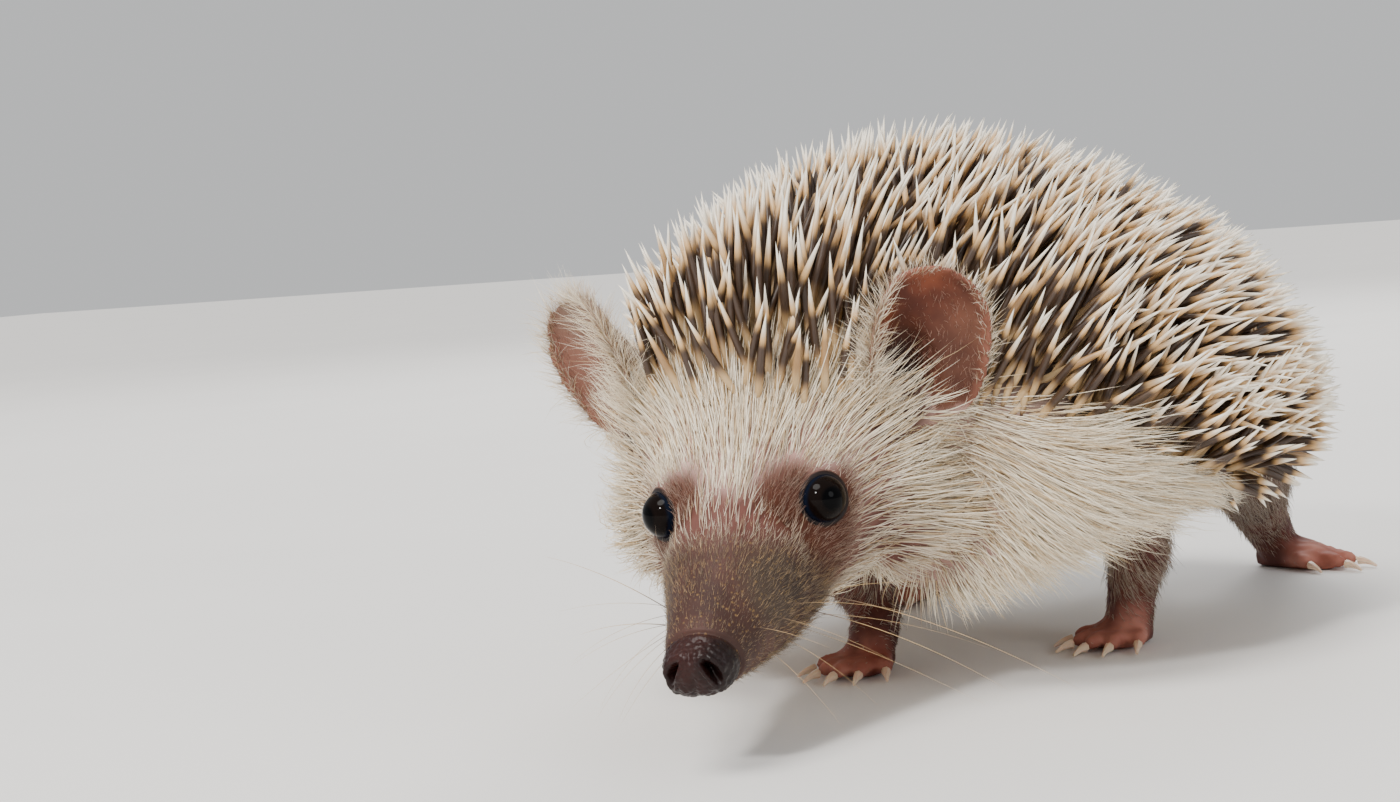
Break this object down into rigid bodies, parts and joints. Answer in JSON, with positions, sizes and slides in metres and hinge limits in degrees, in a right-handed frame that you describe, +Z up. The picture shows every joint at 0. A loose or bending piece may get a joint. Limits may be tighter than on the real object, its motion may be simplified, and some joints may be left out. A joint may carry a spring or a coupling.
{
  "type": "hedgehog",
  "caption": "Life-size still model of a young four-toed hedgehog walking with its nose held low, spiny back, pale furry face, rounded ears and bare paws.",
  "frame": {"origin": "on the ground under the middle of the animal's box", "axes": "+Z up from the ground, the animal faces -Y so its rump is towards +Y, +X is its own left side"},
  "size_m": [0.084, 0.1408, 0.0648],
  "materials": {
    "spines": "banded keratin spines, satin",
    "fur": "soft cream hair",
    "bare_skin": "bare pinkish brown skin",
    "muzzle": "mauve brown skin under very short hair",
    "nose_pad": "moist, finely grained",
    "eye": "wet black",
    "claw": "translucent horn"
  },
  "bodies": {
    "root": {"trunk": "spines", "neck": "fur", "head": "muzzle", "nose": "nose_pad", "eye_left": "eye", "eye_right": "eye", "ear_left": "bare_skin", "ear_right": "bare_skin", "tail": "bare_skin", "leg_front_left": "bare_skin", "foot_front_left": "bare_skin", "claw_front_left_1": "claw", "claw_front_left_2": "claw", "claw_front_left_3": "claw", "claw_front_left_4": "claw", "claw_front_left_5": "claw", "leg_front_right": "bare_skin", "foot_front_right": "bare_skin", "claw_front_right_1": "claw", "claw_front_right_2": "claw", "claw_front_right_3": "claw", "claw_front_right_4": "claw", "claw_front_right_5": "claw", "leg_hind_left": "bare_skin", "foot_hind_left": "bare_skin", "claw_hind_left_1": "claw", "claw_hind_left_2": "claw", "claw_hind_left_3": "claw", "claw_hind_left_4": "claw", "leg_hind_right": "bare_skin", "foot_hind_right": "bare_skin", "claw_hind_right_1": "claw", "claw_hind_right_2": "claw", "claw_hind_right_3": "claw", "claw_hind_right_4": "claw"}
  },
  "joints": []
}
